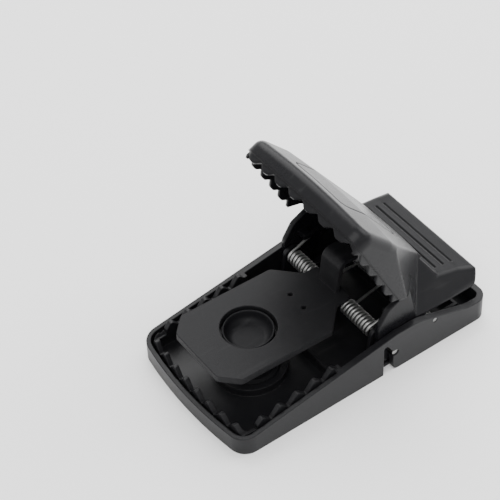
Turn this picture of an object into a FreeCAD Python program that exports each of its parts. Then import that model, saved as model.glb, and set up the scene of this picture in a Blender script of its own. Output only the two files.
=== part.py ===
import FreeCAD, Part
import math
import os

os.makedirs("parts", exist_ok=True)

V = FreeCAD.Vector

# Frame: X across the width, Y from the mouth (-Y) to the press lever (+Y), Z up.
# The origin is the middle of the underside of the base. Lengths are in millimetres.
# The jaw is drawn set: open and held up, with its press lever down on the base.

# base tray
base_length = 136.0
base_width = 75.0
front_bow = 3.5
front_corner = 8.0
rear_corner = 6.0
floor_thickness = 2.0
front_wall = 2.0
tooth_groove = 1.1
tooth_strip = 2.2
rear_wall = 3.0
groove_floor = 1.0
rear_wall_height = 11.5
wall_crest_height = 21.5
crest_length = 17.2
lever_recess_length = 11.0
strip_end_gap = 27.2

# bite: how the two rows of teeth meet
bite_slope_deg = 8.8
bite_gap = 1.2
tooth_rise = 1.4
tooth_pitch = 9.0
front_tooth_pitch = 8.2
tooth_valley = 0.8
tooth_tip = 1.2
tooth_tip_radius = 1.2
tooth_height = 4.0
side_teeth = 5
front_teeth = 8
jaw_tooth_pitch = 9.5
jaw_tooth_tip = 2.6
jaw_tooth_tip_radius = 2.5
jaw_tooth_height = 2.2
jaw_rear_tooth = 37.8
jaw_side_teeth = 5
jaw_front_teeth = 7
jaw_tooth_setback = 0.8

# main axle
axle_from_front = 83.7
axle_height = 10.5
axle_diameter = 3.0
axle_slot_width = 5.2
axle_slot_height = 17.2
axle_slot_top = 2.0
axle_slot_foot = 3.0
running_clearance = 0.05

# jaw with its press lever, one moulding
jaw_open_deg = 63.2
jaw_reveal = 0.4
jaw_wall = 2.2
tooth_line_offset = 12.0
jaw_front_depth = 10.3
jaw_waist_reach = 60.0
jaw_fold_rise = 2.0
jaw_heel_reach = 15.0
jaw_heel_depth = 25.0
jaw_crown = 2.0
jaw_fold_radius = 10.0
jaw_edge_round = 4.0
heel_half_width = 21.0
pad_half_width = 27.5
pad_rear_half_width = 29.7
ear_radius = 7.0
ear_thickness = 2.4
ear_side_gap = 0.6
ear_front_reach = 22.0
ear_front_height = 9.0
ear_front_drop = 8.0
cheek_foot_back = 14.0
lever_foot_forward = 11.9
lever_over_pin = 1.9
lever_rear_gap = 1.5
lever_corner = 7.0
lever_dip = 9.6
lever_drop = 2.3
lever_lip_drop = 2.8
lever_lip_inset = 0.7
lever_pad_edge = 8.6
lever_skirt = 6.3
pad_edge_round = 3.5
groove_count = 3
groove_pitch = 4.5
groove_half_length = 23.0
groove_width = 1.1
groove_depth = 0.7
stiffening_rib = 1.6
floor_rib_height = 4.5
buried = 0.5
back_rib_spacing = 28.0
back_rib_start = 12.0
back_rib_depth = 2.0
label_half_width = 17.0
label_from_heel = 16.0
label_length = 45.0
label_corner = 5.0
label_border_width = 0.8
label_border_depth = 0.4

# spring rod, springs and the pin that carries their fixed legs
rod_forward = 4.9
rod_above = 9.1
rod_diameter = 3.0
tower_thickness = 1.8
tower_gap = 0.4
tower_boss = 1.8
tower_front = 6.0
tower_rear = 4.5
tower_rear_height = 3.0
tower_foot = 1.5
spring_outer_diameter = 7.6
wire_diameter = 1.4
spring_turns = 9
spring_pitch = 1.87
spring_end_gap = 0.9
spring_hub_gap = 0.8
leg_rise_deg = 15.5
leg_length = 10.6
anchor_from_front = 105.0
anchor_height = 16.6
anchor_diameter = 2.2
leg_overhang = 2.5
leg_seating = 0.02
seat_clearance = 0.3
leg_seat_length = 4.0
leg_seat_thickness = 2.6

# trip pedal
pedal_tilt_deg = 1.8
pedal_half_width = 22.3
pedal_front_gap = 7.3
pedal_thickness = 1.7
pedal_above_rod = 6.1
pedal_front_chamfer = 7.5
pedal_rear_chamfer = 10.5
pedal_shoulder = 17.3
pedal_corner = 3.0
pedal_rim = 1.6
pedal_rim_depth = 3.2
bait_hole_diameter = 24.6
hole_collar_depth = 2.6
hole_collar_wall = 1.4
bait_from_front = 34.1
dot_diameter = 2.2
dot_spacing = 9.6
dot_forward = 19.2
hub_radius = 3.1
tongue_half_width = 6.0
tongue_thickness = 1.9
tongue_height = 22.3
tongue_hook = 9.0
catch_clearance = 0.35
catch_thickness = 2.4

# bait cup, pushed up through the tray's floor and turned to lock; the pedal's hole is round it
cup_below_plate = 1.1
cup_top_radius = 11.2
cup_rim = 0.8
cup_foot_radius = 11.6
cup_wall = 1.2
dish_depth = 4.6
dish_inset = 2.2
dish_corner = 3.4
plug_radius = 13.1
plug_height = 5.5
plug_lift = 0.3
cup_lug_width = 7.0
cup_lug_reach = 1.9
cup_lug_thickness = 1.6
cup_clearance = 0.3
cup_release_deg = 60.0
seat_lip = 2.3
seat_wall = 1.4
grip_bar_width = 2.4
grip_bar_height = 6.0

# places worked out from the sizes above
front_y = -base_length / 2
half_width = base_width / 2
axle_y = front_y + axle_from_front
bite_slope = math.radians(bite_slope_deg)
axle = V(0, axle_y, axle_height)
rod = V(0, axle_y - rod_forward, axle_height + rod_above)
anchor = V(0, front_y + anchor_from_front, anchor_height)
strip_end_y = axle_y - strip_end_gap
ear_outer = half_width - rear_wall - ear_side_gap
ear_inner = ear_outer - ear_thickness
tower_outer = ear_inner - tower_gap
tower_inner = tower_outer - tower_thickness
jaw_half = half_width - jaw_reveal
jaw_travel_deg = jaw_open_deg + bite_slope_deg
level_reach = axle_from_front - jaw_reveal - tooth_line_offset * math.sin(bite_slope)
jaw_reach = level_reach / math.cos(bite_slope)
spring_length = wire_diameter + (spring_turns + 0.5) * spring_pitch
spring_inner_end = tower_inner - spring_end_gap - spring_length
hub_half_length = spring_inner_end - spring_hub_gap
beyond = base_length  # reaches past every piece
bait_y = front_y + bait_from_front
lug_tip = plug_radius + cup_lug_reach
seat_roof = seat_lip + cup_lug_thickness + 2 * cup_clearance


def bite_height(y, lift):
    """Height of the sloping line on which the jaw's teeth close, raised by lift."""
    line = axle_height + tooth_line_offset / math.cos(bite_slope)
    return line - (axle_y - y) * math.tan(bite_slope) + lift


def rounded_wire(corners, place):
    """Closed wire through corners (a, b, radius), each turned by an arc where it has a radius."""
    count = len(corners)
    turns = []
    for index in range(count):
        a, b, radius = corners[index]
        before = corners[index - 1]
        after = corners[(index + 1) % count]
        to_before = V(before[0] - a, before[1] - b, 0).normalize()
        to_after = V(after[0] - a, after[1] - b, 0).normalize()
        here = V(a, b, 0)
        if radius == 0:
            turns.append((here, None, here))
            continue
        half = to_before.getAngle(to_after) / 2
        run = radius / math.tan(half)
        bisector = (to_before + to_after).normalize()
        middle = here + bisector * (radius / math.sin(half) - radius)
        turns.append((here + to_before * run, middle, here + to_after * run))
    edges = []
    for index in range(count):
        start, middle, end = turns[index]
        if middle is not None:
            edges.append(Part.Arc(place(start), place(middle), place(end)).toShape())
        following = turns[(index + 1) % count][0]
        if end.distanceToPoint(following) > 1e-6:
            edges.append(Part.LineSegment(place(end), place(following)).toShape())
    return Part.Wire(edges)


def side_prism(corners, x_from, x_to):
    """Solid with the outline (y, z, radius) seen from the side, from x_from to x_to."""
    wire = rounded_wire(corners, lambda p: V(x_from, p.x, p.y))
    return Part.Face(wire).extrude(V(x_to - x_from, 0, 0))


def both_sides(corners, x_from, x_to):
    """The same side outline on the left and on the right, between two distances from the middle."""
    return [side_prism(corners, x_from, x_to), side_prism(corners, -x_to, -x_from)]


def plan_prism(corners, z_from, z_to):
    """Solid with the outline (x, y, radius) seen from above."""
    wire = rounded_wire(corners, lambda p: V(p.x, p.y, z_from))
    return Part.Face(wire).extrude(V(0, 0, z_to - z_from))


def rod_along_x(y, z, radius, x_from, x_to):
    return Part.makeCylinder(radius, x_to - x_from, V(x_from, y, z), V(1, 0, 0))


def fuse_all(shapes):
    return shapes[0].multiFuse(shapes[1:]).removeSplitter()


def bowed_plan(half, front, rear, corner, back_corner, inset, z_from, z_to):
    """Plate whose front edge is bowed, with round corners, drawn in by inset all round."""
    radius = (half * half + front_bow * front_bow) / (2 * front_bow)
    centre = V(0, front + radius, 0)
    reach = radius - corner
    corner_x = half - corner
    corner_y = centre.y - math.sqrt(reach * reach - corner_x * corner_x)
    outward = V(corner_x, corner_y - centre.y, 0).normalize()
    side = half - inset
    edge_front = radius - inset
    turn = corner - inset
    back_turn = back_corner - inset

    def at(x, y):
        return V(x, y, z_from)

    near = centre + outward * edge_front
    bend = V(outward.x + 1, outward.y, 0).normalize() * turn
    back_x = half - back_corner
    back_y = rear - back_corner
    slant = back_turn * math.sqrt(0.5)
    edges = [
        Part.Arc(at(-near.x, near.y), at(0, front + inset), at(near.x, near.y)).toShape(),
        Part.Arc(at(near.x, near.y), at(corner_x + bend.x, corner_y + bend.y), at(side, corner_y)).toShape(),
        Part.LineSegment(at(side, corner_y), at(side, back_y)).toShape(),
        Part.Arc(at(side, back_y), at(back_x + slant, back_y + slant), at(back_x, rear - inset)).toShape(),
        Part.LineSegment(at(back_x, rear - inset), at(-back_x, rear - inset)).toShape(),
        Part.Arc(at(-back_x, rear - inset), at(-back_x - slant, back_y + slant), at(-side, back_y)).toShape(),
        Part.LineSegment(at(-side, back_y), at(-side, corner_y)).toShape(),
        Part.Arc(at(-side, corner_y), at(-corner_x - bend.x, corner_y + bend.y),
                 at(-near.x, near.y)).toShape(),
    ]
    return Part.Face(Part.Wire(edges)).extrude(V(0, 0, z_to - z_from))


def base_plan(inset, z_from, z_to):
    return bowed_plan(half_width, front_y, base_length / 2, front_corner, rear_corner, inset, z_from, z_to)


def tooth_gaps(count, first, pitch, tip, tip_radius, height):
    """Outlines (along, up, radius) of the gaps round count teeth, measured from their tip line."""
    gaps = []
    reach = pitch / 2
    mouth = (pitch - tip) / 2
    valley = tooth_valley / 2
    above = 1.0
    spare = 0.02
    for index in range(count + 1):
        middle = first + (index - 0.5) * pitch
        gaps.append([
            (middle - reach, above, 0), (middle + reach, above, 0), (middle + reach, spare, 0),
            (middle + mouth, 0, tip_radius), (middle + valley, -height, 0),
            (middle - valley, -height, 0), (middle - mouth, 0, tip_radius), (middle - reach, spare, 0),
        ])
    return gaps


def make_base():
    """Tray with a floor, outer walls, an inner row of teeth, towers for the rod and axle slots."""
    rear_y = base_length / 2
    crest_y = axle_y - rod_forward + crest_length
    tall = wall_crest_height + 10
    crest_start = axle_y - (bite_height(axle_y, -bite_gap) - wall_crest_height) / math.tan(bite_slope)
    knee_y = rear_y - lever_recess_length
    wall_side = [
        (front_y - 1, 0, 0), (front_y - 1, bite_height(front_y - 1, -bite_gap), 0),
        (crest_start, wall_crest_height, 8.0), (crest_y, wall_crest_height, 16.0),
        (knee_y, rear_wall_height, 14.0), (rear_y + 1, rear_wall_height, 0), (rear_y + 1, 0, 0),
    ]
    walls_side = side_prism(wall_side, -half_width - 1, half_width + 1)
    front_zone = Part.makeBox(base_width + 2, strip_end_y - front_y + 1, tall,
                              V(-half_width - 1, front_y - 1, 0))
    strip_out = front_wall + tooth_groove
    strip_in = strip_out + tooth_strip
    floor = base_plan(0, 0, floor_thickness)
    rear_ring = base_plan(0, 0, tall).cut(base_plan(rear_wall, 0, tall)).cut(front_zone)
    front_ring = base_plan(0, 0, tall).cut(base_plan(front_wall, 0, tall)).common(front_zone)
    walls = [rear_ring.common(walls_side), front_ring.common(walls_side)]
    strip = base_plan(strip_out, 0, tall).cut(base_plan(strip_in, 0, tall)).common(front_zone)
    tips = [
        (front_y - 1, 0, 0), (front_y - 1, bite_height(front_y - 1, tooth_rise), 0),
        (strip_end_y, bite_height(strip_end_y, tooth_rise), 0), (strip_end_y, 0, 0),
    ]
    strip = strip.common(side_prism(tips, -half_width, half_width)).cut(base_tooth_tools(strip_in))
    tie_depth = Part.makeBox(base_width, strip_end_y - front_y, floor_thickness + groove_floor,
                             V(-half_width, front_y, 0))
    tie = base_plan(front_wall / 2, 0, floor_thickness + groove_floor)
    tie = tie.cut(base_plan(strip_out + tooth_strip / 2, 0, tall)).common(tie_depth)
    pieces = [floor, tie, strip] + walls
    web_front = strip_end_y - rear_wall
    web_rear = strip_end_y + 0.1
    end_web = [
        (web_front, 0, 0), (web_front, bite_height(web_front, -bite_gap), 0),
        (web_rear, bite_height(strip_end_y, -bite_gap), 0), (web_rear, 0, 0),
    ]
    pieces += both_sides(end_web, half_width - strip_in, half_width - front_wall / 2)
    foot = floor_thickness - buried
    tower_round = rod_diameter / 2 + tower_boss
    tower_turn = tower_round - 0.05
    tower_top = rod.z + tower_round
    tower_back = axle_y + tower_rear
    tower = [
        (rod.y - tower_front, foot, 0), (rod.y - tower_round, tower_top, tower_turn),
        (rod.y + tower_round, tower_top, tower_turn), (tower_back, axle_height + tower_rear_height, 2.0),
        (tower_back + tower_foot, foot, 0),
    ]
    pieces += both_sides(tower, tower_inner, tower_outer)
    rib_height = floor_rib_height + buried
    rib_end_y = rear_y - 2 * rear_corner
    for y in (strip_end_y, anchor.y, rib_end_y):
        pieces.append(Part.makeBox(2 * tower_inner, stiffening_rib, rib_height, V(-tower_inner, y, foot)))
    rib_length = rib_end_y - strip_end_y
    for x in (-tower_inner, tower_inner - stiffening_rib):
        pieces.append(Part.makeBox(stiffening_rib, rib_length, rib_height, V(x, strip_end_y, foot)))
    pieces.append(on_cup_axis(lug_tip + cup_clearance + seat_wall, 0, seat_roof + seat_wall))
    return fuse_all(pieces).cut(base_openings())


def base_tooth_tools(strip_in):
    """Gaps between the tray's teeth: along both sides, and across the front."""
    tools = []
    shape = (tooth_tip, tooth_tip_radius, tooth_height)
    first = strip_end_y - tooth_pitch / 2 - (side_teeth - 1) * tooth_pitch
    for gap in tooth_gaps(side_teeth, first, tooth_pitch, *shape):
        corners = [(y, bite_height(y, tooth_rise + up), radius) for y, up, radius in gap]
        tools.append(side_prism(corners, -half_width, half_width))
    line = bite_height(front_y + strip_in, tooth_rise)
    first = -(front_teeth - 1) * front_tooth_pitch / 2
    for gap in tooth_gaps(front_teeth, first, front_tooth_pitch, *shape):
        wire = rounded_wire([(x, line + up, radius) for x, up, radius in gap], lambda p: V(p.x, front_y, p.y))
        tools.append(Part.Face(wire).extrude(V(0, front_corner + strip_in, 0)))
    return tools


def base_openings():
    """What is cut from the tray: axle slots and pockets, rod and pin holes, the seat of the bait cup."""
    axle_hole = axle_diameter / 2 + running_clearance
    pocket_front = axle_y - axle_hole
    slot_front = pocket_front - axle_slot_width + 0.2
    slot_rear = slot_front + axle_slot_width
    foot_rear = slot_rear + 2 * axle_slot_foot
    slot = [
        (slot_front, -1, 0), (slot_front, axle_slot_height, 1.2),
        (slot_front + axle_slot_top, axle_slot_height, 1.0), (slot_rear, axle_height + axle_hole, 0),
        (axle_y, axle_height + axle_hole, 0), (axle_y, axle_height - axle_hole, 0),
        (slot_rear, axle_height - axle_hole, 0), (slot_rear, 0, axle_slot_foot), (foot_rear, 0, 0),
        (foot_rear, -1, 0),
    ]
    tools = both_sides(slot, ear_outer, half_width + 1)
    for y, z, radius, reach in (
        (axle_y, axle_height, axle_hole, half_width + 1),
        (rod.y, rod.z, rod_diameter / 2, tower_outer + 0.1),
        (anchor.y, anchor.z, anchor_diameter / 2, half_width + 1),
    ):
        tools.append(rod_along_x(y, z, radius, -reach, reach))
    tools.append(on_cup_axis(plug_radius + cup_clearance, -1, 2 * seat_roof))
    tools.append(on_cup_axis(lug_tip + cup_clearance, seat_lip, seat_roof))
    entries = lug_bars(cup_lug_width + 2 * cup_clearance, lug_tip + cup_clearance, -1, seat_roof)
    tools.append(entries.rotate(V(0, bait_y, 0), V(0, 0, 1), -cup_release_deg))
    return tools


def to_set_pose(shape):
    """Turn a shape drawn about the axle, with its mouth along -Y, to where the set jaw holds it."""
    shape.rotate(V(0, 0, 0), V(1, 0, 0), -jaw_open_deg)
    shape.translate(axle)
    return shape


def set_point(reach, height):
    """Place, in the set pose, of a jaw point given by its reach to the front and height over the axle."""
    angle = math.radians(jaw_open_deg)
    y = axle_y - reach * math.cos(angle) + height * math.sin(angle)
    z = axle_height + reach * math.sin(angle) + height * math.cos(angle)
    return V(0, y, z)


heel_height = tooth_line_offset + jaw_heel_depth
brow_height = tooth_line_offset + jaw_front_depth
waist_share = (jaw_waist_reach - jaw_heel_reach) / (jaw_reach - jaw_heel_reach)
waist_height = heel_height + (brow_height - heel_height) * waist_share + jaw_fold_rise


def crowned_bar(near, far, drop):
    """Long bar whose crowned back runs through two centre-line points, both lowered by drop."""
    half = jaw_half
    radius = (half * half + jaw_crown * jaw_crown) / (2 * jaw_crown) - drop
    along = V(0, -(far[0] - near[0]), far[1] - near[1]).normalize()
    up = V(0, -along.z, along.y)
    if up.z < 0:
        up = up * -1
    start = V(0, -near[0], near[1]) - up * (radius + drop) - along * 200
    return Part.makeCylinder(radius, 400, start, along)


def from_set_pose(shape):
    """Turn a shape from the set pose back to the jaw's own frame."""
    shape.translate(axle * -1)
    shape.rotate(V(0, 0, 0), V(1, 0, 0), jaw_open_deg)
    return shape


def block_beyond(point, normal):
    """Large block on the side of a plane to which its normal points."""
    reach = 2 * beyond
    block = Part.makeBox(2 * reach, 2 * reach, reach, V(-reach, -reach, 0))
    block.Placement = FreeCAD.Placement(point, FreeCAD.Rotation(V(0, 0, 1), normal))
    return block


def outward_normal(first, second, third):
    """Normal, towards +X, of the plane through three points."""
    normal = (second - first).cross(third - first).normalize()
    if normal.x < 0:
        normal = normal * -1
    return normal


def slope_points():
    """Three points of the plane in which the lever's right side slopes; in the set pose."""
    heel, dip, knee, edge, rear, skirt = lever_points()
    at_dip = V(pad_half_width, dip.y, dip.z)
    at_edge = V(pad_rear_half_width, edge.y, edge.z)
    lever_foot = V(ear_outer, rear - lever_foot_forward, skirt)
    return at_dip, at_edge, lever_foot


def side_slopes(inset):
    """What lies outside the sides, which slope in to the heel and the pad; in the set pose."""
    heel, dip, knee, edge, rear, skirt = lever_points()
    waist = set_point(jaw_waist_reach, waist_height - jaw_crown)
    at_waist = V(jaw_half, waist.y, waist.z)
    at_heel = V(heel_half_width, heel.y, heel.z)
    cheek_foot = V(ear_outer, axle_y + cheek_foot_back, skirt)
    wedge = None
    for plane in ((at_waist, at_heel, cheek_foot), slope_points()):
        normal = outward_normal(*plane)
        block = block_beyond(plane[0] - normal * inset, normal)
        wedge = block if wedge is None else wedge.common(block)
    return [wedge, wedge.mirror(V(0, 0, 0), V(1, 0, 0))]


def pad_edge_tools():
    """Slivers to be cut off where the press pad turns round into its sloping sides."""
    heel, dip, knee, edge, rear, skirt = lever_points()
    plane = slope_points()
    outward = outward_normal(*plane)

    def on_slope(place):
        offset = outward.y * (place.y - plane[0].y) + outward.z * (place.z - plane[0].z)
        return V(plane[0].x - offset / outward.x, place.y, place.z)

    corners = [on_slope(place) for place in (heel, dip, knee, edge)]
    runs = [corners[index + 1] - corners[index] for index in range(3)]
    spare = 2.0
    blend = 0.03
    tools = []
    for index in (1, 2):
        start = corners[index]
        length = runs[index].Length
        along = runs[index] * (1 / length)
        flat = V(0, -runs[index].z, runs[index].y).normalize()
        depth = (pad_edge_round - blend) / (1 + flat.dot(outward))
        centre = start - (flat + outward) * depth
        profile = [
            centre + flat * pad_edge_round, centre + flat * (pad_edge_round + spare),
            start + (flat + outward) * spare, centre + outward * (pad_edge_round + spare),
            centre + outward * pad_edge_round,
        ]
        outline = [place - along * length for place in profile + profile[:1]]
        bar = Part.Face(Part.makePolygon(outline)).extrude(along * length * 3)
        bar = bar.cut(Part.makeCylinder(pad_edge_round, length * 5, centre - along * length * 2, along))
        before = runs[index - 1] * (1 / runs[index - 1].Length)
        bar = bar.common(block_beyond(start, (before + along).normalize()))
        if index == 1:
            after = runs[2] * (1 / runs[2].Length)
            bar = bar.cut(block_beyond(corners[2], (along + after).normalize()))
        tools += [bar, bar.mirror(V(0, 0, 0), V(1, 0, 0))]
    return tools


def jaw_outline(inset):
    """Space under the jaw's crowned back, drawn in by inset, in the jaw's own frame."""
    block = jaw_plan(inset, tooth_line_offset, heel_height + 2)
    waist = (jaw_waist_reach, waist_height)
    front_bar = crowned_bar(waist, (jaw_reach, brow_height), inset)
    back_bar = crowned_bar((jaw_heel_reach, heel_height), waist, inset)
    return block.common(front_bar).common(back_bar)


jaw_back_corner = 8.0
cheek_toe = 29.6
cheek_knee = (22.7, 8.1)
cheek_heel = (14.6, 19.9)


def cheek_edge(grow):
    """Rear lower edge of the jaw's outer cheeks as (y, z) points, moved towards the front by grow."""
    return [
        (-cheek_toe - grow, tooth_line_offset - 1),
        (-cheek_toe - grow, tooth_line_offset),
        (-cheek_knee[0] - grow, tooth_line_offset + cheek_knee[1]),
        (-cheek_heel[0] - grow * 0.7, tooth_line_offset + cheek_heel[1] + grow * 0.5),
        (-jaw_heel_reach - grow * 0.2, heel_height + 4),
    ]


def jaw_plan(inset, z_from, z_to):
    corner = front_corner - jaw_reveal
    return bowed_plan(jaw_half, -jaw_reach, -1.0, corner, jaw_back_corner, inset, z_from, z_to)


def middle_of(edge):
    return edge.valueAt((edge.FirstParameter + edge.LastParameter) / 2)


def in_plane(edge, point, normal):
    places = [vertex.Point for vertex in edge.Vertexes] + [middle_of(edge)]
    return max(abs((place - point).dot(normal)) for place in places) < 0.01


def rounded_lid():
    """Outside of the jaw in front of the heel, with its fold and its upper edges rounded."""
    room = Part.makeBox(base_width, 2 * jaw_reach, 2 * heel_height,
                        V(-half_width, -2 * jaw_reach - jaw_heel_reach, 0))
    slopes = [from_set_pose(wedge) for wedge in side_slopes(0)]
    lid = jaw_outline(0).common(room).cut(slopes)
    heel = V(0, -jaw_heel_reach, heel_height)
    fold = V(0, -jaw_waist_reach, waist_height)
    brow = V(0, -jaw_reach, brow_height)
    across = ((fold - heel).normalize() + (brow - fold).normalize()).normalize()
    lid = lid.makeFillet(jaw_fold_radius, [edge for edge in lid.Edges if in_plane(edge, fold, across)])
    front_edges = [edge for edge in lid.Edges if middle_of(edge).distanceToPoint(brow) < 1]
    return lid.makeFillet(jaw_edge_round, front_edges)


def make_front_shell():
    """Lid of the jaw: crowned top, front wall and outer cheeks, with teeth set back under their rim."""
    front = [(-jaw_reach - 5, heel_height + 4), (-jaw_reach - 5, tooth_line_offset - 1)]
    keep = side_prism([(y, z, 0) for y, z in front + cheek_edge(0)], -half_width, half_width)
    outer = rounded_lid().common(keep)
    inner = jaw_outline(jaw_wall)
    inner.translate(V(0, 0, -0.001))
    inner = inner.cut([from_set_pose(wedge) for wedge in side_slopes(jaw_wall)])
    below = tooth_line_offset - 3
    rim = tooth_line_offset + jaw_tooth_height + jaw_tooth_setback
    lower = jaw_plan(jaw_wall, below, tooth_line_offset + 0.5)
    setback = jaw_plan(-1, below, rim).cut(jaw_plan(jaw_tooth_setback, below, rim))
    return outer.cut([inner, lower, setback] + jaw_tooth_tools())


def jaw_tooth_tools():
    """Gaps between the jaw's teeth, which close outside the tray's: along both cheeks and the front wall."""
    tools = []
    shape = (jaw_tooth_pitch, jaw_tooth_tip, jaw_tooth_tip_radius, jaw_tooth_height)
    for gap in tooth_gaps(jaw_side_teeth, -jaw_rear_tooth - (jaw_side_teeth - 1) * jaw_tooth_pitch, *shape):
        corners = [(y, tooth_line_offset - up, radius) for y, up, radius in gap]
        tools += both_sides(corners, jaw_half - 2 * jaw_wall, half_width)
    for gap in tooth_gaps(jaw_front_teeth, -(jaw_front_teeth - 1) * jaw_tooth_pitch / 2, *shape):
        wire = rounded_wire([(x, tooth_line_offset - up, radius) for x, up, radius in gap],
                            lambda p: V(p.x, -jaw_reach - 1, p.y))
        tools.append(Part.Face(wire).extrude(V(0, front_corner + 1, 0)))
    return tools


def label_border():
    """Shallow line round the place of the label, which is left bare."""
    rear = -jaw_heel_reach - label_from_heel
    front = rear - label_length
    frame = []
    for inset in (0, label_border_width):
        side = label_half_width - inset
        turn = label_corner - inset
        frame.append(plan_prism([
            (-side, front + inset, turn), (side, front + inset, turn), (side, rear - inset, turn),
            (-side, rear - inset, turn)], tooth_line_offset, heel_height + jaw_crown))
    return frame[0].cut([frame[1], jaw_outline(label_border_depth)])


def make_cheek_steps():
    """Webs that carry each outer cheek in to the ear inside the base's wall."""
    outline = [(y, z, 0) for y, z in cheek_edge(0)[2:4]]
    inner = [(y, z, 0) for y, z in cheek_edge(jaw_wall)[2:4]]
    return both_sides(outline + inner[::-1], ear_inner, jaw_half)


def lever_points():
    """Side view of the press lever in the set pose, from the jaw's heel round to its underside."""
    heel = set_point(jaw_heel_reach, heel_height - jaw_crown)
    rear = base_length / 2 - lever_rear_gap
    dip = V(0, heel.y + lever_dip * 0.62, heel.z - lever_dip)
    edge = V(0, rear - lever_lip_inset, dip.z - lever_drop - lever_lip_drop)
    knee = V(0, rear - lever_pad_edge, dip.z - lever_drop)
    skirt = edge.z - lever_skirt
    return heel, dip, knee, edge, rear, skirt


def make_ears_and_lever():
    """Two ears that turn on the axle, and the hollow press lever between them."""
    heel, dip, knee, edge, rear, skirt = lever_points()
    angle = math.radians(jaw_open_deg)
    down_plate = V(0, math.cos(angle - 0.17), -math.sin(angle - 0.17))
    upper = heel - down_plate * 6
    ear_front = set_point(ear_front_reach, ear_front_height)
    ear_top = set_point(ear_front_reach, tooth_line_offset + cheek_knee[1] + 0.6)
    heel_low = set_point(cheek_heel[0] + 0.5, tooth_line_offset + cheek_heel[1] + 0.4)
    under = anchor.z + anchor_diameter / 2 + lever_over_pin
    side = [
        (axle_y - ear_radius, axle_height, 0), (axle_y - ear_radius, ear_front.z - ear_front_drop, 5.0),
        (ear_front.y, ear_front.z, 3.0), (ear_top.y, ear_top.z, 0), (heel_low.y, heel_low.z, 0),
        (upper.y, upper.z, 0), (heel.y, heel.z, 0), (dip.y, dip.z, 5.0), (knee.y, knee.z, 14.0),
        (edge.y, edge.z, 2.4), (rear, (edge.z + skirt) / 2, 0), (rear - 0.6, skirt, 1.0),
        (axle_y + 2 * ear_radius, under, 4.0), (axle_y + ear_radius, axle_height, 0),
    ]
    body = side_prism(side, -ear_outer, ear_outer)
    ahead = axle_y - beyond
    plan = plan_prism([(-ear_outer, ahead, 0), (ear_outer, ahead, 0),
                       (ear_outer, rear, lever_corner), (-ear_outer, rear, lever_corner)], -5, beyond)
    body = body.common(plan)
    for sign in (-1, 1):
        start = min(sign * ear_inner, sign * ear_outer)
        body = body.fuse(rod_along_x(axle_y, axle_height, ear_radius, start, start + ear_thickness))
    wall = jaw_wall
    over = heel.z + beyond
    above_heel = heel.y - wall - 3.2
    hollow = [
        (ahead, -5, 0), (ahead, over, 0), (above_heel, over, 0),
        (above_heel, heel.z + 2.4, 0), (heel.y - wall * 0.95, heel.z - wall * 0.55, 0),
        (dip.y - wall * 0.75, dip.z - wall, 4.0), (knee.y - wall * 0.2, knee.z - wall, 8.0),
        (edge.y - wall * 0.9, edge.z - wall * 0.8, 1.0), (rear - wall, edge.z - 5, 0), (rear - wall, -5, 0),
    ]
    room = side_prism(hollow, -ear_inner, ear_inner)
    room_plan = plan_prism([(-ear_inner, ahead, 0), (ear_inner, ahead, 0),
                            (ear_inner, rear - wall, lever_corner - wall),
                            (-ear_inner, rear - wall, lever_corner - wall)], -10, beyond)
    room = room.common(room_plan).cut(side_slopes(wall))
    return body.cut([room] + side_slopes(0))


def lever_grooves():
    """Three finger grooves across the press pad."""
    heel, dip, knee, edge, rear, skirt = lever_points()
    slope = (knee.z - dip.z) / (knee.y - dip.y)
    tools = []
    for index in range(groove_count):
        y = knee.y + groove_pitch * (index - groove_count + 0.95)
        z = dip.z + slope * (y - dip.y)
        across = Part.makeBox(2 * groove_half_length, groove_width, 2 * groove_depth,
                              V(-groove_half_length, y - groove_width / 2, z - groove_depth))
        tools.append(across)
    return tools


def make_latch_catch():
    """Cross web under the jaw's back whose edge passes just over the pedal's tongue."""
    hook_end = tongue_end()
    reach = math.hypot(hook_end.y - axle_y, hook_end.z - axle_height) + catch_clearance
    lean = math.atan2(hook_end.y - axle_y, hook_end.z - axle_height)
    turn = math.radians(jaw_open_deg) - lean - 0.06
    foot_reach = reach * math.sin(turn)
    foot_height = reach * math.cos(turn)
    web = Part.makeBox(2 * tongue_half_width, catch_thickness, heel_height - foot_height,
                       V(-tongue_half_width, -foot_reach - catch_thickness, foot_height - 1.5))
    web = web.cut(rod_along_x(0, 0, reach, -half_width, half_width))
    return web.common(jaw_outline(jaw_wall / 2))


def make_back_ribs():
    """Lengthwise ribs under the jaw's back, on each side of the latch web."""
    ribs = []
    ceiling = jaw_outline(jaw_wall / 2)
    room = jaw_outline(jaw_wall + back_rib_depth)
    length = jaw_reach - cheek_toe
    for x in (-back_rib_spacing / 2, back_rib_spacing / 2 - stiffening_rib):
        rib = Part.makeBox(stiffening_rib, length, beyond, V(x, -jaw_reach + back_rib_start, 0))
        ribs.append(rib.common(ceiling).cut(room))
    return ribs


def make_leg_seats():
    """Shelves on the ears' inner faces, pushed up by the springs' moving legs."""
    end = leg_end()
    bottom = end.z + wire_diameter / 2 + seat_clearance
    shelf = [
        (end.y - leg_seat_length, bottom, 0), (end.y - leg_seat_length, bottom + leg_seat_thickness, 0),
        (end.y + 0.5, bottom + leg_seat_thickness, 0), (end.y + 0.5, bottom, 0),
    ]
    reach = spring_inner_end + spring_length - wire_diameter
    return both_sides(shelf, reach, ear_inner + 0.5)


def make_jaw():
    """Upper jaw and press lever, one moulding."""
    local = fuse_all([make_front_shell()] + make_cheek_steps() + [make_latch_catch()] + make_back_ribs())
    local = to_set_pose(local.cut(label_border()))
    jaw = fuse_all([local, make_ears_and_lever()] + make_leg_seats())
    hole = rod_along_x(axle_y, axle_height, axle_diameter / 2 + running_clearance, -half_width, half_width)
    return jaw.cut([hole] + lever_grooves() + side_slopes(0) + pad_edge_tools()).removeSplitter()


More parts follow.
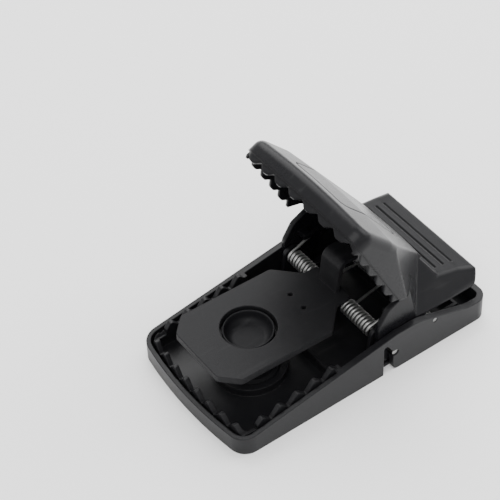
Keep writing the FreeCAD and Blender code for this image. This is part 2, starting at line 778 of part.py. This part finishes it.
def turned_about_rod(y, z, degrees):
    """Place of a point given about the rod, after the pedal has turned."""
    angle = math.radians(degrees)
    return V(0, rod.y + y * math.cos(angle) - z * math.sin(angle),
             rod.z + y * math.sin(angle) + z * math.cos(angle))


def tongue_end():
    """Highest rear corner of the tongue's hook in the set pose."""
    return turned_about_rod(tongue_hook, tongue_height, -pedal_tilt_deg)


def make_pedal():
    """Trip pedal: plate with a bait hole, hub on the rod, and the hooked latch tongue."""
    front = front_y + pedal_front_gap - rod.y
    top = pedal_above_rod
    half = pedal_half_width
    neck = half - pedal_rear_chamfer
    shoulder = -pedal_shoulder
    front_corner_y = front + pedal_front_chamfer
    neck_y = shoulder + pedal_rear_chamfer
    corners = [
        (-half + pedal_front_chamfer, front), (half - pedal_front_chamfer, front), (half, front_corner_y),
        (half, shoulder), (neck, neck_y), (neck, 1.0), (-neck, 1.0), (-neck, neck_y), (-half, shoulder),
        (-half, front_corner_y),
    ]
    outline = [(x, y, pedal_corner) for x, y in corners]
    narrower = 1 - pedal_rim / half
    inside = [(x * narrower, max(y, front + pedal_rim), pedal_corner / 2) for x, y in corners]
    plate = plan_prism(outline, top - pedal_thickness, top)
    rim = plan_prism(outline, top - pedal_rim_depth, top - pedal_thickness / 2)
    behind = Part.makeBox(4 * half, 4 * half, 4 * top, V(-2 * half, shoulder, -2 * top))
    rim = rim.cut(plan_prism(inside, top - 2 * pedal_rim_depth, top)).cut(behind)
    hub = rod_along_x(0, 0, hub_radius, -hub_half_length, hub_half_length)
    collar_low = top - pedal_thickness - hole_collar_depth
    collar = Part.makeCylinder(bait_hole_diameter / 2 + hole_collar_wall, hole_collar_depth + buried,
                               V(0, bait_y - rod.y, collar_low))
    parts = [plate, rim, hub, collar]
    for x in (-hub_half_length, -stiffening_rib / 2, hub_half_length - stiffening_rib):
        web = [
            (-8.0, top - buried, 0), (-hub_radius + 0.4, -buried, 0), (hub_radius - 0.4, -buried, 0),
            (0.9, top - buried, 0),
        ]
        parts.append(side_prism(web, x, x + stiffening_rib))
    lean = 1.3
    thick = tongue_thickness
    tongue = [
        (-thick - lean, top - 0.8, 0), (-lean, tongue_height, 4.2), (tongue_hook, tongue_height, 0.5),
        (tongue_hook, tongue_height - thick, 0.5), (thick - lean + 0.3, tongue_height - thick, 2.2),
        (-lean, top - 0.8, 0),
    ]
    parts.append(side_prism(tongue, -tongue_half_width, tongue_half_width))
    bait_hole = Part.makeCylinder(bait_hole_diameter / 2, 2 * top, V(0, bait_y - rod.y, 0))
    dots = [Part.makeCylinder(dot_diameter / 2, 20, V(x, -dot_forward, top - 10))
            for x in (-dot_spacing / 2, dot_spacing / 2)]
    bore = rod_along_x(0, 0, rod_diameter / 2 + running_clearance, -half_width, half_width)
    pedal = fuse_all(parts).cut([bait_hole, bore] + dots).removeSplitter()
    pedal.rotate(V(0, 0, 0), V(1, 0, 0), -pedal_tilt_deg)
    pedal.translate(rod)
    return pedal


def on_cup_axis(radius, low, high):
    return Part.makeCylinder(radius, high - low, V(0, bait_y, low))


def lug_bars(width, reach, low, high):
    """Pair of radial bars with round ends, on the cup's axis."""
    bar = Part.makeBox(2 * reach, width, high - low, V(-reach, bait_y - width / 2, low))
    return bar.common(on_cup_axis(reach, low, high))


def make_cup():
    """Bait cup: a dish on a hollow cone, with a plug, two bayonet lugs and a finger bar below."""
    top = turned_about_rod(bait_y - rod.y, pedal_above_rod, -pedal_tilt_deg).z - cup_below_plate
    dish_floor = top - dish_depth
    hollow_top = dish_floor - cup_wall
    outline = [
        (plug_radius, plug_lift, 0), (plug_radius, plug_height, 0), (cup_foot_radius, plug_height + 0.7, 0),
        (cup_top_radius, top, 0.3), (cup_top_radius - cup_rim, top, 0.3),
        (cup_top_radius - dish_inset, dish_floor, dish_corner), (0, dish_floor, 0), (0, hollow_top, 0),
        (cup_top_radius - cup_wall, hollow_top, dish_corner), (cup_foot_radius - cup_wall, plug_lift, 0),
    ]
    bowl = Part.Face(rounded_wire(outline, lambda p: V(p.x, 0, p.y)))
    bowl = bowl.revolve(V(0, 0, 0), V(0, 0, 1), 360)
    bowl.translate(V(0, bait_y, 0))
    lug_low = seat_lip + cup_clearance
    lugs = lug_bars(cup_lug_width, lug_tip, lug_low, lug_low + cup_lug_thickness)
    lugs = lugs.cut(on_cup_axis(plug_radius - cup_wall / 2, 0, seat_roof))
    grip = on_cup_axis(cup_foot_radius - cup_wall / 2, plug_lift, grip_bar_height)
    grip = grip.common(Part.makeBox(2 * plug_radius, grip_bar_width, grip_bar_height,
                                    V(-plug_radius, bait_y - grip_bar_width / 2, 0)))
    return fuse_all([bowl, lugs, grip])


def coil_radius():
    return (spring_outer_diameter - wire_diameter) / 2


def leg_end():
    """End of the moving leg, which leaves the top of the coil towards the rear."""
    rise = math.radians(leg_rise_deg)
    start_y = rod.y - coil_radius() * math.sin(rise)
    start_z = rod.z + coil_radius() * math.cos(rise)
    return V(0, start_y + leg_length * math.cos(rise), start_z + leg_length * math.sin(rise))


def arc_from(start, tangent, end):
    """Arc that leaves start along tangent and ends at end, with the tangent that it has there."""
    chord = end - start
    along = chord.dot(tangent)
    side = chord - tangent * along
    half = math.atan2(side.Length, along)
    radius = chord.Length / (2 * math.sin(half))
    inward = side.normalize()
    middle = start + tangent * (radius * math.sin(half)) + inward * (radius * (1 - math.cos(half)))
    leaving = tangent * math.cos(2 * half) + inward * math.sin(2 * half)
    return Part.Arc(start, middle, end).toShape(), leaving


def biarc(start, tangent, end, end_tangent):
    """Two arcs that join start to end and meet each other in line."""
    gap = end - start
    turn = tangent + end_tangent
    spread = 2 * (1 - tangent.dot(end_tangent))
    reach = gap.dot(turn)
    step = (-reach + math.sqrt(reach * reach + spread * gap.dot(gap))) / spread
    join = (start + tangent * step + end - end_tangent * step) * 0.5
    first, leaving = arc_from(start, tangent, join)
    second, leaving = arc_from(join, leaving, end)
    return [first, second]


def spring_path(sign):
    """Fixed leg, coil in quarter turns and moving leg, for the side that sign gives."""
    radius = coil_radius()
    start_angle, leg_start = fixed_leg(radius)
    end_angle = math.pi / 2 + math.radians(leg_rise_deg)
    turn = (start_angle - end_angle) % (2 * math.pi) + 2 * math.pi * spring_turns
    quarters = math.ceil(turn / (math.pi / 2))
    step = turn / quarters
    advance = spring_pitch * step / (2 * math.pi)
    pitch_angle = math.atan2(spring_pitch, 2 * math.pi * radius)
    first_x = spring_inner_end + wire_diameter / 2

    def at(index):
        angle = start_angle - index * step
        return V(sign * (first_x + index * advance), rod.y + radius * math.cos(angle),
                 rod.z + radius * math.sin(angle))

    def heading(index):
        angle = start_angle - index * step
        flat = V(0, math.sin(angle), -math.cos(angle))
        return flat * math.cos(pitch_angle) + V(sign * math.sin(pitch_angle), 0, 0)

    leg_start.x = at(0).x
    leg_start = at(0) - heading(0) * leg_start.distanceToPoint(at(0))
    edges = [Part.LineSegment(leg_start, at(0)).toShape()]
    for index in range(quarters):
        edges += biarc(at(index), heading(index), at(index + 1), heading(index + 1))
    edges.append(Part.LineSegment(at(quarters), at(quarters) + heading(quarters) * leg_length).toShape())
    return edges, leg_start, heading(0)


def fixed_leg(radius):
    """Angle at which the coil is met by the leg that rests on the anchor pin, and the leg's far end."""
    away = anchor - rod
    over_pin = anchor_diameter / 2 + wire_diameter / 2 + leg_seating
    rise = math.atan2(away.z, away.y) + math.asin((radius + over_pin) / away.Length)
    along = V(0, math.cos(rise), math.sin(rise))
    upward = V(0, -math.sin(rise), math.cos(rise))
    return rise - math.pi / 2, anchor + upward * over_pin + along * leg_overhang


def make_spring(sign):
    """One torsion spring: an unbroken wire with a leg at each end."""
    edges, start, direction = spring_path(sign)
    ring = Part.Circle(start, direction, wire_diameter / 2).toShape()
    path = Part.Wire(edges)
    spring = path.makePipeShell([Part.Wire([ring])], True, False)
    print("spring wire: section times length %.1f mm3, solid %.1f mm3"
          % (math.pi * wire_diameter ** 2 / 4 * path.Length, spring.Volume))
    return spring, least_gap(path)


def least_gap(path):
    """Least free distance between stretches of the wire at least a third of a turn apart."""
    spacing = 0.9
    points = path.discretize(Distance=spacing)
    apart = math.ceil(2 * math.pi * coil_radius() / 3 / spacing)
    least = base_length
    for index in range(len(points)):
        for other in range(index + apart, len(points)):
            least = min(least, points[index].distanceToPoint(points[other]))
    return least - wire_diameter


def make_axle():
    """Steel axle across the whole base."""
    half = half_width - 0.5
    return rod_along_x(axle_y, axle_height, axle_diameter / 2, -half, half)


def make_spring_rod():
    """Steel rod between the towers, through both springs and the pedal's hub."""
    return rod_along_x(rod.y, rod.z, rod_diameter / 2, -tower_outer, tower_outer)


def make_anchor_pin():
    """Thin steel pin under the springs' fixed legs, pressed into the side walls."""
    half = half_width - 0.2
    return rod_along_x(anchor.y, anchor.z, anchor_diameter / 2, -half, half)


def save(name, shape):
    solids = shape.Solids
    box = shape.BoundBox
    print("%-16s solids %d valid %s volume %.1f  x %.1f..%.1f  y %.1f..%.1f  z %.1f..%.1f" % (
        name, len(solids), shape.isValid(), shape.Volume,
        box.XMin, box.XMax, box.YMin, box.YMax, box.ZMin, box.ZMax))
    if len(solids) == 1:
        shape = solids[0]
    shape.exportStep("parts/" + name + ".step")


save("base", make_base())
save("upper_jaw", make_jaw())
save("trip_pedal", make_pedal())
save("bait_cup", make_cup())
save("jaw_axle", make_axle())
save("spring_rod", make_spring_rod())
save("leg_anchor_pin", make_anchor_pin())
for side_name, side_sign in (("right_spring", 1), ("left_spring", -1)):
    spring_shape, spring_gap = make_spring(side_sign)
    print("%s least gap between turns %.2f mm" % (side_name, spring_gap))
    save(side_name, spring_shape)
print("jaw travel %.1f degrees, axle at y %.2f z %.2f, rod at y %.2f z %.2f, jaw reach %.2f" % (
    jaw_travel_deg, axle.y, axle.z, rod.y, rod.z, jaw_reach))
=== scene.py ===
import bpy
from mathutils import Matrix, Vector

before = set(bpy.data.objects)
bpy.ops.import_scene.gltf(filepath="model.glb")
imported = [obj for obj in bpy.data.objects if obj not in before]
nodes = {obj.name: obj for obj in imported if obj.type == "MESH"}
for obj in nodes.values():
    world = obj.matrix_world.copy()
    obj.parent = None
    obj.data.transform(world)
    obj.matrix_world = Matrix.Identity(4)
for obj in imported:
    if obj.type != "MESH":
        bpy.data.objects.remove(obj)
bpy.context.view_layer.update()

print("frame loaded:", sorted(nodes))


class Wire:
    # a node's output in plain arithmetic: every operator adds one Math node
    def __init__(self, board, socket):
        self.board = board
        self.socket = socket

    def math(self, operation, other, clamp=False):
        # this value and the other one, joined by the operation
        return self.board.add("ShaderNodeMath", {"operation": operation, "use_clamp": clamp},
                              {0: self, 1: other})[0]

    def __add__(self, other): return self.math("ADD", other)
    def __radd__(self, other): return self.math("ADD", other)
    def __mul__(self, other): return self.math("MULTIPLY", other)
    def __rmul__(self, other): return self.math("MULTIPLY", other)

    def clamp(self):
        # the value itself, held between 0 and 1
        return self.math("ADD", 0.0, clamp=True)

    def ramp(self, low, high, toLow=0.0, toHigh=1.0):
        # toLow at low and toHigh at high, straight between them, flat outside them
        return self.board.add("ShaderNodeMapRange", {"clamp": True},
                              {"Value": self, "From Min": low, "From Max": high,
                               "To Min": toLow, "To Max": toHigh})[0]


class Board:
    # one material's node tree, with a single way to add any node
    def __init__(self, name):
        self.material = bpy.data.materials.new(name)
        self.material.use_nodes = True
        self.tree = self.material.node_tree
        self.tree.nodes.clear()

    def add(self, kind, settings=None, inputs=None):
        # a node of this type: first its settings, then the value or the link of each input
        node = self.tree.nodes.new(kind)
        for key, value in (settings or {}).items():
            setattr(node, key, value)
        for key, value in (inputs or {}).items():
            socket = node.inputs[key]
            if isinstance(value, Wire):
                self.tree.links.new(value.socket, socket)
            elif socket.type == "RGBA":
                socket.default_value = (*value, 1.0)
            else:
                socket.default_value = value
        return [Wire(self, out) for out in node.outputs]

    def place(self, stretch=(1.0, 1.0, 1.0)):
        # object coordinates in metres, each times its stretch
        coords = self.add("ShaderNodeTexCoord")
        spot = next(wire for wire in coords if wire.socket.name == "Object")
        return self.add("ShaderNodeMapping", {}, {"Vector": spot, "Scale": stretch})[0]

    def noise(self, spot, scale, detail, rough):
        # soft random values round 0.5, with about scale blobs to the metre
        return self.add("ShaderNodeTexNoise", {}, {"Vector": spot, "Scale": scale, "Detail": detail,
                                                   "Roughness": rough})[0]

    def mix(self, factor, first, second):
        # first where factor is 0, second where it is 1; colours are inputs 6 and 7 and output 2
        return self.add("ShaderNodeMix", {"data_type": "RGBA"}, {0: factor, 6: first, 7: second})[2]

    def rounded(self, radius, samples):
        # the surface's direction, with every edge blended over radius
        return self.add("ShaderNodeBevel", {"samples": samples}, {"Radius": radius})[0]

    def bump(self, height, strength, distance, normal):
        # tilts normal as if the surface rose by height times distance
        return self.add("ShaderNodeBump", {}, {"Height": height, "Strength": strength, "Distance": distance,
                                               "Normal": normal})[0]

    def finish(self, **sockets):
        # the one shader; a socket's name has _ for each space
        inputs = {name.replace("_", " "): value for name, value in sockets.items()}
        shader = self.add("ShaderNodeBsdfPrincipled", {}, inputs)
        self.add("ShaderNodeOutputMaterial", {}, {"Surface": shader[0]})
        return self.material


def mouldedPlastic(name, look):
    # colour: dark to light by broad smudges, then towards rubbed in sparse streaks
    # roughness: low to high by the same smudges, plus a share of the streaks and of the grain
    # normal: blended edges, so that they catch the light as moulded ones do, then grain and waves
    board = Board(name)
    spot = board.place()
    smudges = board.noise(spot, look["smudgeScale"], *look["smudgeDetail"])
    grain = board.noise(spot, look["grainScale"], *look["grainDetail"])
    streakSpot = board.place(look["streakStretch"])
    streaks = board.noise(streakSpot, look["streakScale"], *look["streakDetail"]).ramp(*look["streakRange"])
    tone = board.mix(smudges.ramp(*look["smudgeTone"]), look["dark"], look["light"])
    tone = board.mix(streaks * look["streakAmount"], tone, look["rubbed"])
    rough = smudges.ramp(*look["smudgeGloss"], look["roughLow"], look["roughHigh"])
    rough = rough + streaks * look["streakRough"] + grain * look["grainRough"]
    normal = board.rounded(look["edgeSoftness"], look["edgeSamples"])
    normal = board.bump(grain, look["grainStrength"], look["grainHeight"], normal)
    normal = board.bump(smudges, look["waveStrength"], look["waveHeight"], normal)
    return board.finish(Base_Color=tone, Roughness=rough.clamp(), Normal=normal, Metallic=0.0,
                        IOR=look["ior"])


def drawnSteel(name, look):
    # colour: bright to dull by faint patches
    # roughness: low to high by fine lines, plus a share of the patches
    # normal: blended edges, so that a thin wire's facets don't show, then the lines
    board = Board(name)
    lines = board.noise(board.place(look["lineStretch"]), look["lineScale"], *look["lineDetail"])
    patches = board.noise(board.place(), look["patchScale"], *look["patchDetail"]).ramp(*look["patchRange"])
    tone = board.mix(patches, look["bright"], look["dull"])
    rough = lines.ramp(*look["lineRange"], look["roughLow"], look["roughHigh"]) + patches * look["patchRough"]
    normal = board.rounded(look["edgeSoftness"], look["edgeSamples"])
    normal = board.bump(lines, look["lineStrength"], look["lineHeight"], normal)
    return board.finish(Base_Color=tone, Metallic=1.0, Roughness=rough.clamp(), Normal=normal)


def dress(material, *nodeNames):
    # the named nodes take this one material
    for nodeName in nodeNames:
        slots = nodes[nodeName].data.materials
        slots.clear()
        slots.append(material)


# scales are blobs to the metre, heights and softness are metres,
# a detail is how many finer layers a noise has and how strong they are
basePlastic = {
    "dark": (0.006, 0.006, 0.007), "light": (0.010, 0.010, 0.011), "rubbed": (0.024, 0.024, 0.025),
    "roughLow": 0.30, "roughHigh": 0.40, "ior": 1.28, "edgeSoftness": 0.0007, "edgeSamples": 6,
    "smudgeScale": 34.0, "smudgeDetail": (4.0, 0.6), "smudgeTone": (0.35, 0.70), "smudgeGloss": (0.30, 0.72),
    "grainScale": 2600.0, "grainDetail": (2.0, 0.7), "grainRough": 0.05,
    "grainStrength": 0.18, "grainHeight": 0.0002, "waveStrength": 0.12, "waveHeight": 0.0006,
    "streakStretch": (1.0, 0.12, 1.0), "streakScale": 260.0, "streakDetail": (3.0, 0.6),
    "streakRange": (0.60, 0.74), "streakAmount": 0.35, "streakRough": 0.06,
}
jawPlastic = dict(basePlastic, dark=(0.004, 0.004, 0.005), light=(0.008, 0.008, 0.009),
                  roughLow=0.22, roughHigh=0.31, ior=1.24, edgeSoftness=0.0014, smudgeScale=28.0)
pedalPlastic = dict(basePlastic, dark=(0.008, 0.008, 0.009), light=(0.013, 0.013, 0.014),
                    rubbed=(0.028, 0.028, 0.029), roughLow=0.40, roughHigh=0.50, ior=1.22, grainStrength=0.3)
# cup: darker than the pedal, partly the cup's own black and partly painted shade for the deep dish under the
# pedal's hole
cupPlasticPaintedShade = dict(pedalPlastic, dark=(0.005, 0.005, 0.006), light=(0.009, 0.009, 0.010), ior=1.20)
springSteel = {
    "bright": (0.31, 0.31, 0.305), "dull": (0.24, 0.24, 0.235),
    "roughLow": 0.40, "roughHigh": 0.46, "edgeSoftness": 0.0004, "edgeSamples": 6,
    "lineStretch": (1.0, 1.0, 1.0), "lineScale": 900.0, "lineDetail": (2.0, 0.6), "lineRange": (0.3, 0.7),
    "lineStrength": 0.01, "lineHeight": 0.00008,
    "patchScale": 110.0, "patchDetail": (3.0, 0.6), "patchRange": (0.42, 0.68), "patchRough": 0.08,
}
rodSteel = dict(springSteel, lineStretch=(0.08, 1.0, 1.0), roughLow=0.24, roughHigh=0.36)

dress(mouldedPlastic("basePlastic", basePlastic), "base")
dress(mouldedPlastic("jawPlastic", jawPlastic), "upper_jaw")
dress(mouldedPlastic("pedalPlastic", pedalPlastic), "trip_pedal")
dress(mouldedPlastic("cupPlasticPaintedShade", cupPlasticPaintedShade), "bait_cup")
dress(drawnSteel("springSteel", springSteel), "left_spring", "right_spring")
dress(drawnSteel("rodSteel", rodSteel), "jaw_axle", "spring_rod", "leg_anchor_pin")
print("materials on the frame's nodes")


studio = {
    "floorReach": 6.0, "floorColour": (0.92, 0.92, 0.92), "floorRoughness": 0.9,
    "worldColour": (1.0, 1.0, 1.0, 1.0), "worldStrength": 1.25, "lampAim": (0.0, 0.0, 0.03),
    # place, diameter in metres and power in watts of each lamp
    "lamps": {"key": ((0.9, -0.7, 1.6), 1.4, 20.0),
              "fill": ((-1.2, 0.6, 1.3), 1.8, 34.0),
              "rear": ((0.2, 1.6, 1.2), 1.6, 30.0)},
}


def softLight(name, place, size, power):
    # a round lamp that faces the aim point
    data = bpy.data.lights.new(name, "AREA")
    data.shape = "DISK"
    data.size = size
    data.energy = power
    lamp = bpy.data.objects.new(name, data)
    lamp.location = place
    lamp.rotation_euler = (Vector(studio["lampAim"]) - Vector(place)).to_track_quat("-Z", "Y").to_euler()
    bpy.context.scene.collection.objects.link(lamp)


def makeStudio():
    # a square floor, twice floorReach wide, an even surround and the lamps
    reach = studio["floorReach"]
    mesh = bpy.data.meshes.new("studioFloor")
    corners = [(-reach, -reach, 0.0), (reach, -reach, 0.0), (reach, reach, 0.0), (-reach, reach, 0.0)]
    mesh.from_pydata(corners, [], [(0, 1, 2, 3)])
    floor = bpy.data.objects.new("studioFloor", mesh)
    bpy.context.scene.collection.objects.link(floor)
    board = Board("studioFloor")
    mesh.materials.append(board.finish(Base_Color=studio["floorColour"], Roughness=studio["floorRoughness"]))
    world = bpy.data.worlds.new("studioWorld")
    world.use_nodes = True
    background = world.node_tree.nodes["Background"]
    background.inputs["Color"].default_value = studio["worldColour"]
    background.inputs["Strength"].default_value = studio["worldStrength"]
    bpy.context.scene.world = world
    for key, (place, size, power) in studio["lamps"].items():
        softLight(key + "Light", place, size, power)


# fitted to the tray's edges: place in metres, lens and sensor in millimetres, and unit directions
cameraView = {
    "place": (0.406605, -0.306012, 0.568105), "lens": 125.2076, "sensorWidth": 36.0, "clipEnd": 50.0,
    "right": (0.58682, 0.80906, -0.03274), "up": (-0.56257, 0.43646, 0.70215),
    "back": (0.58237, -0.39362, 0.71128),
}


def makeCamera():
    # the directions are the columns of its turn
    data = bpy.data.cameras.new("photoCamera")
    data.sensor_width = cameraView["sensorWidth"]
    data.lens = cameraView["lens"]
    data.clip_end = cameraView["clipEnd"]
    camera = bpy.data.objects.new("photoCamera", data)
    turn = Matrix((cameraView["right"], cameraView["up"], cameraView["back"])).transposed()
    camera.matrix_world = Matrix.Translation(cameraView["place"]) @ turn.to_4x4()
    bpy.context.scene.collection.objects.link(camera)
    bpy.context.scene.camera = camera


makeStudio()
makeCamera()
print("studio and camera placed")
